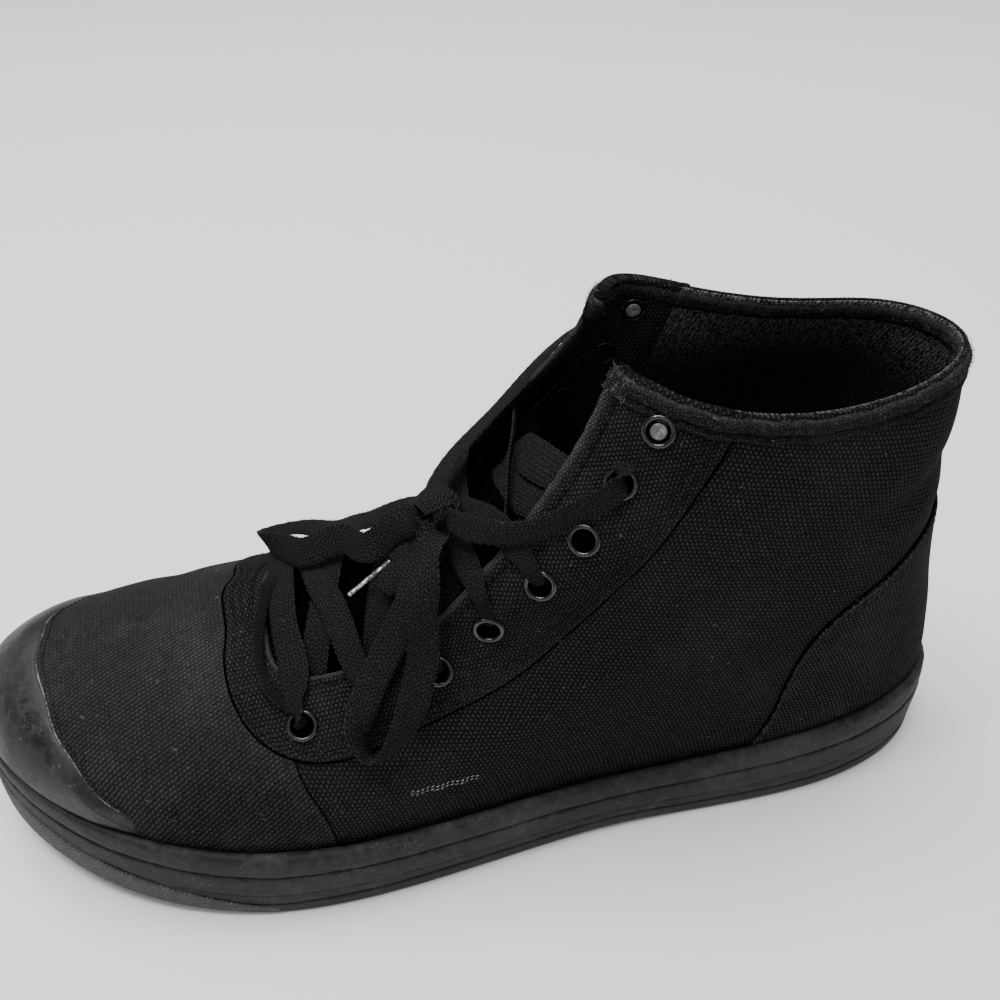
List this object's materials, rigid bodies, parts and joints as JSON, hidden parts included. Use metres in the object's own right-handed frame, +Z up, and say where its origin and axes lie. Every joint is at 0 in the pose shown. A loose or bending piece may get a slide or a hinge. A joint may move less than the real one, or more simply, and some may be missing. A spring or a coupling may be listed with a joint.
{
  "type": "high-top safety boot",
  "caption": "Left high-top safety boot in black canvas with a rubber toe cap and sole and a flat tied lace, to wear on the foot.",
  "frame": {"origin": "on the floor, under the middle of the sole's outline", "axes": "+Z up, -Y towards the toe, +X towards the outer (lateral) side of this left boot"},
  "size_m": [0.1113, 0.304, 0.1545],
  "materials": {
    "sole_rubber": "matt charcoal vulcanised rubber, slightly worn",
    "cap_rubber": "smooth charcoal rubber with a soft gloss and scuffs",
    "canvas": "coarse black canvas with stitched overlays",
    "tongue_knit": "ribbed black knit",
    "lining": "black diagonal mesh lining",
    "lace_cotton": "flat woven charcoal cotton",
    "eyelet_metal": "glossy black, one worn to bare metal",
    "worn_steel": "crimped bare metal tip"
  },
  "bodies": {
    "root": {"outsole": "sole_rubber", "foxing": "sole_rubber", "upper": "canvas", "insole": "lining", "tongue": "tongue_knit", "toe_cap": "cap_rubber", "toe_bumper": "sole_rubber", "eyelet_inner_1": "eyelet_metal", "eyelet_inner_2": "eyelet_metal", "eyelet_inner_3": "eyelet_metal", "eyelet_inner_4": "eyelet_metal", "eyelet_inner_5": "eyelet_metal", "eyelet_inner_6": "eyelet_metal", "eyelet_inner_7": "eyelet_metal", "eyelet_inner_8": "eyelet_metal", "eyelet_outer_1": "eyelet_metal", "eyelet_outer_2": "eyelet_metal", "eyelet_outer_3": "eyelet_metal", "eyelet_outer_4": "eyelet_metal", "eyelet_outer_5": "eyelet_metal", "eyelet_outer_6": "eyelet_metal", "eyelet_outer_7": "eyelet_metal", "eyelet_outer_8": "eyelet_metal", "lace_cross_1": "lace_cotton", "lace_cross_2": "lace_cotton", "lace_cross_3": "lace_cotton", "lace_cross_4": "lace_cotton", "lace_cross_5": "lace_cotton", "lace_bar": "lace_cotton", "lace_leg_outer": "lace_cotton", "lace_leg_inner": "lace_cotton", "lace_loop_front": "lace_cotton", "lace_loop_side": "lace_cotton", "lace_end_tipped": "lace_cotton", "lace_end_frayed": "lace_cotton", "lace_knot": "lace_cotton", "lace_tip": "worn_steel"}
  },
  "joints": []
}
